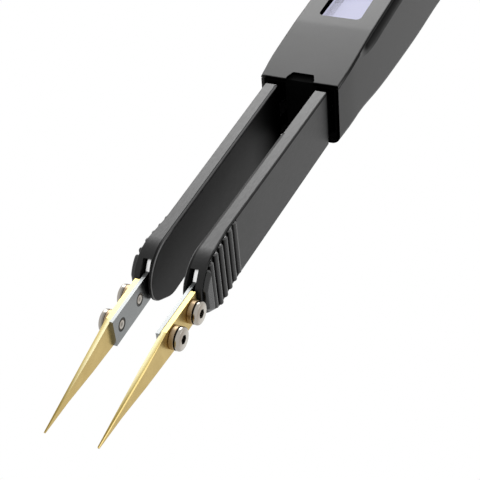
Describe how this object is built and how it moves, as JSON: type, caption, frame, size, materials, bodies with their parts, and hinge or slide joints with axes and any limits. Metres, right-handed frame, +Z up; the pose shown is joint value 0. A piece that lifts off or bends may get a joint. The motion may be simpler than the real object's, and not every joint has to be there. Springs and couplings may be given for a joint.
{
  "type": "component tester",
  "caption": "Hand-held component tester shaped as tweezers, with sprung arms that end in gold blades, a window, push buttons and a sliding cell tray.",
  "frame": {"origin": "on the resting plane, at the middle of the object's length and width, straight below the line that joins the two arm pivots", "axes": "+Z up, away from the resting face, out of the display window; +Y to the rear end with the cell tray, so the blades point along -Y; +X to the side that lies to the right when the tester is seen from above with its blades pointing down the page"},
  "size_m": [0.0172, 0.181, 0.0197],
  "materials": {
    "casing_plastic": "satin",
    "arm_plastic": "satin",
    "block_plastic": "matte",
    "grip_rubber": "matte",
    "key_plastic": "satin",
    "plunger_plastic": "matte",
    "switch_plastic": "matte",
    "frame_plastic": "matte",
    "guide_plastic": "gloss",
    "buzzer_plastic": "matte",
    "lens_clear": "gloss",
    "display_glass": "gloss",
    "elastomer": "matte",
    "board_laminate": "satin",
    "chip_resin": "matte",
    "tinned_leads": "satin",
    "capacitor_ceramic": "satin",
    "can_steel": "satin",
    "contact_bronze": "satin",
    "black_screw_steel": "satin",
    "cell_steel": "satin",
    "pin_steel": "satin",
    "leaf_steel": "satin",
    "nickel_strip": "satin",
    "screw_steel": "satin",
    "gold_blade": "satin",
    "gold_collar": "satin"
  },
  "bodies": {
    "casing": {"top_cover": "casing_plastic", "bottom_shell": "casing_plastic", "carrier_block": "block_plastic", "pivot_pins": "pin_steel", "window_lens": "lens_clear", "display_panel": "display_glass", "display_frame": "frame_plastic", "elastomer_strips": "elastomer", "light_guide": "guide_plastic", "circuit_board": "board_laminate", "main_chip": "chip_resin", "chip_leads": "tinned_leads", "capacitors": "capacitor_ceramic", "crystal": "can_steel", "buzzer": "buzzer_plastic", "arm_contacts": "contact_bronze", "switch_bases": "switch_plastic", "cell_contacts": "contact_bronze", "casing_screws": "black_screw_steel"},
    "left_arm": {"left_arm_shell": "arm_plastic", "left_inner_plate": "arm_plastic", "left_grip_pad": "grip_rubber", "left_contact_strip": "nickel_strip", "left_blade": "gold_blade", "left_collars": "gold_collar", "left_tip_screws": "screw_steel", "left_return_leaf": "leaf_steel"},
    "right_arm": {"right_arm_shell": "arm_plastic", "right_inner_plate": "arm_plastic", "right_grip_pad": "grip_rubber", "right_contact_strip": "nickel_strip", "right_blade": "gold_blade", "right_collars": "gold_collar", "right_tip_screws": "screw_steel", "right_return_leaf": "leaf_steel"},
    "mode_key": {"mode_button": "key_plastic", "mode_plunger": "plunger_plastic"},
    "hold_key": {"hold_button": "key_plastic", "hold_plunger": "plunger_plastic"},
    "power_key": {"power_button": "key_plastic", "power_plunger": "plunger_plastic"},
    "tray": {"cell_tray": "casing_plastic", "button_cells": "cell_steel", "cell_bridge": "contact_bronze"}
  },
  "joints": [
    {"name": "right_arm_hinge", "type": "hinge", "parent": "casing", "child": "right_arm", "pos_m": [0.00492, 0, 0.01005], "axis": [0, 0, -1], "range_deg": [0, 2.55], "stiffness_Nm_per_rad": 1.2, "springref_deg": -0.69},
    {"name": "left_arm_hinge", "type": "hinge", "parent": "casing", "child": "left_arm", "pos_m": [-0.00492, 0, 0.01005], "axis": [0, 0, 1], "range_deg": [0, 2.55], "stiffness_Nm_per_rad": 1.2, "springref_deg": -0.69},
    {"name": "mode_key_press", "type": "slide", "parent": "casing", "child": "mode_key", "axis": [0, 0, -1], "range_m": [0, 0.0004], "stiffness_N_per_m": 1500, "springref_m": -0.0003},
    {"name": "hold_key_press", "type": "slide", "parent": "casing", "child": "hold_key", "axis": [0, 0, -1], "range_m": [0, 0.0004], "stiffness_N_per_m": 1500, "springref_m": -0.0003},
    {"name": "power_key_press", "type": "slide", "parent": "casing", "child": "power_key", "axis": [0, 0, -1], "range_m": [0, 0.0004], "stiffness_N_per_m": 1500, "springref_m": -0.0003},
    {"name": "tray_slide", "type": "slide", "parent": "casing", "child": "tray", "axis": [0, 1, 0], "range_m": [0, 0.022]}
  ]
}
